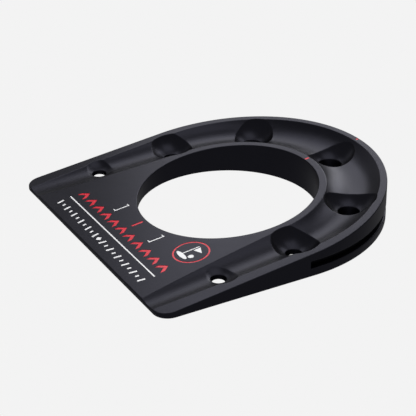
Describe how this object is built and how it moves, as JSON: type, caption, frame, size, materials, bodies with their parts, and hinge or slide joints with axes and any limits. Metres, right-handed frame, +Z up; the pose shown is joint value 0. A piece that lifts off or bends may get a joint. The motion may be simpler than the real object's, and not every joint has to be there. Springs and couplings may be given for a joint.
{
  "type": "putting cup",
  "caption": "Low wedge-shaped ring plate with a large through hole, a horseshoe ball track with round seats and peg holes, and a finger groove round its tall back.",
  "frame": {"origin": "centre of the footprint, on the surface that the rubber pads rest on", "axes": "+Z up, +Y from the thin front edge towards the tall round back, +X to the right seen from the front"},
  "size_m": [0.1844, 0.1876, 0.0254],
  "materials": {
    "black_anodised_aluminium": "satin",
    "white_enamel": "gloss",
    "red_enamel": "gloss",
    "black_rubber": "matte"
  },
  "bodies": {
    "root": {"body": "black_anodised_aluminium", "side_aim_ticks": "white_enamel", "base_line": "white_enamel", "dash_row": "white_enamel", "badge_flag": "white_enamel", "badge_ball": "white_enamel", "centre_aim_tick": "red_enamel", "chevron_row": "red_enamel", "badge_ring": "red_enamel", "inner_rim_tick": "red_enamel", "outer_rim_tick": "red_enamel", "front_left_pad": "black_rubber", "front_right_pad": "black_rubber", "back_left_pad": "black_rubber", "back_right_pad": "black_rubber"}
  },
  "joints": []
}
